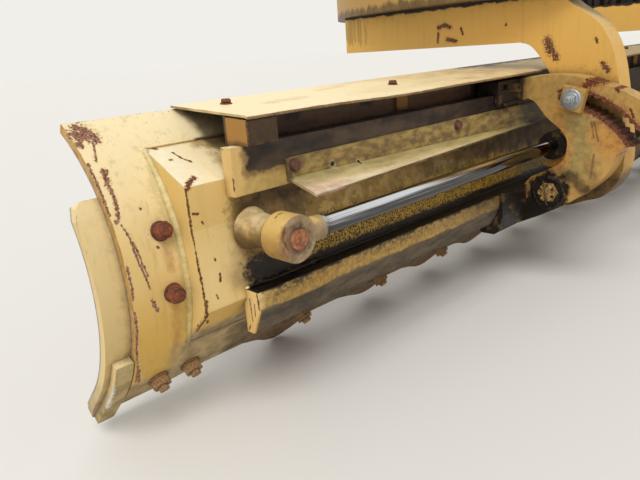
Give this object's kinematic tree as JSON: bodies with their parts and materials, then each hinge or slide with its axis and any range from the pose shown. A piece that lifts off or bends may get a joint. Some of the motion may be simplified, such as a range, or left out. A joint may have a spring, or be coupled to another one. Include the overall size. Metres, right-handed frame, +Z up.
{
  "type": "motor grader circle and blade assembly",
  "caption": "Curved moldboard with cutting edges and end bits, sliding on tilt brackets under a toothed turning circle, with a side shift cylinder.",
  "frame": {"origin": "middle of the circle's outer rim, on its turning axis", "axes": "+X along the blade towards its right end, +Y forward on the open side of the moldboard's curve, +Z up along the turning axis"},
  "size_m": [3.746, 1.5598, 0.8276],
  "materials": {
    "faded_paint": "sun bleached, satin",
    "deep_paint": "worn satin",
    "greased_steel": "greasy",
    "rusty_steel": "rusty",
    "plated_steel": "zinc plated",
    "chrome_rod": "polished"
  },
  "bodies": {
    "circle": {"circle_ring": "greased_steel", "gooseneck_arms": "deep_paint", "pivot_pins": "plated_steel", "clamp_bolts": "plated_steel"},
    "tilt": {"tilt_brackets": "deep_paint", "upper_shoes": "greased_steel", "lower_shoes": "greased_steel", "shift_barrel": "deep_paint", "shift_gland": "greased_steel", "barrel_tail": "deep_paint"},
    "blade": {"moldboard_sheet": "faded_paint", "back_box": "faded_paint", "upper_rail": "deep_paint", "lower_rail": "deep_paint", "deck_plate": "faded_paint", "deck_lugs": "deep_paint", "deck_bolts": "rusty_steel", "deflector": "faded_paint", "deflector_bolts": "rusty_steel", "rod_stud": "rusty_steel", "shift_rod": "chrome_rod", "cutting_edges": "rusty_steel", "end_bits": "faded_paint", "edge_nuts": "rusty_steel", "back_bolts": "rusty_steel"}
  },
  "joints": [
    {"name": "blade_tilt", "type": "hinge", "parent": "circle", "child": "tilt", "pos_m": [0, -0.339, -0.525], "axis": [-1, 0, 0], "range_deg": [0, 38]},
    {"name": "side_shift", "type": "slide", "parent": "tilt", "child": "blade", "axis": [1, 0, 0], "range_m": [-0.3, 0.6]}
  ]
}
